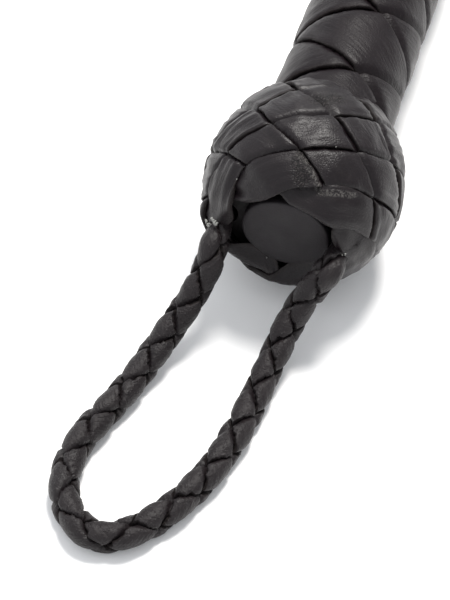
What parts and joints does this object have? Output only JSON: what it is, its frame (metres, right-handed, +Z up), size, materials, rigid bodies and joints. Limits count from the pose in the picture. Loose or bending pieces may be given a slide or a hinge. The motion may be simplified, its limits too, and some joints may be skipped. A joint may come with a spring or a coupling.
{
  "type": "riding crop",
  "caption": "Short plaited leather riding crop with a knotted ball pommel, braided wrist loop that swings, tapered shaft and hinged leather keeper.",
  "frame": {"origin": "the middle of the crop on the surface it lies on, halfway between the pommel's mouth and the keeper's end", "axes": "+X runs from the pommel to the keeper, +Z is up, and +Y is to the left when looking from the pommel to the keeper; the crop tips down 1.7 degrees towards the keeper because it rests on its pommel and tip knot"},
  "size_m": [0.5947, 0.0483, 0.039],
  "materials": {
    "black_leather": "dyed black bridle leather, fine grain, soft satin sheen, charcoal wear on raised crowns and cut edges",
    "cap_leather": "smooth matte black leather",
    "waxed_thread": "twisted waxed linen thread",
    "turned_wood": "plain turned beech, hidden inside",
    "fibreglass": "drawn fibreglass rod, hidden inside"
  },
  "bodies": {
    "crop": {"core_rod": "fibreglass", "handle_dowel": "turned_wood", "pommel_ball": "turned_wood", "pommel_knot": "black_leather", "end_cap": "cap_leather", "loop_tail_left": "black_leather", "loop_tail_right": "black_leather", "grip_lace_1": "black_leather", "grip_lace_2": "black_leather", "grip_lace_3": "black_leather", "grip_lace_4": "black_leather", "grip_collar": "black_leather", "shaft_bolster": "black_leather", "shaft_lace_1": "black_leather", "shaft_lace_2": "black_leather", "shaft_lace_3": "black_leather", "shaft_lace_4": "black_leather", "tip_knot": "black_leather", "tip_binding": "waxed_thread", "keeper_tab": "black_leather"},
    "loop": {"wrist_loop": "black_leather"},
    "keeper": {"keeper_upper_leaf": "black_leather", "keeper_lower_leaf": "black_leather", "keeper_stitching": "waxed_thread"}
  },
  "joints": [
    {"name": "loop_swing", "type": "hinge", "parent": "crop", "child": "loop", "pos_m": [-0.26782, 0, 0.0186], "axis": [0, 1, 0], "range_deg": [-12, 60]},
    {"name": "keeper_flap", "type": "hinge", "parent": "crop", "child": "keeper", "pos_m": [0.20648, 0, 0.00595], "axis": [0, 1, 0], "range_deg": [-55, 55], "stiffness_Nm_per_rad": 0.02}
  ]
}
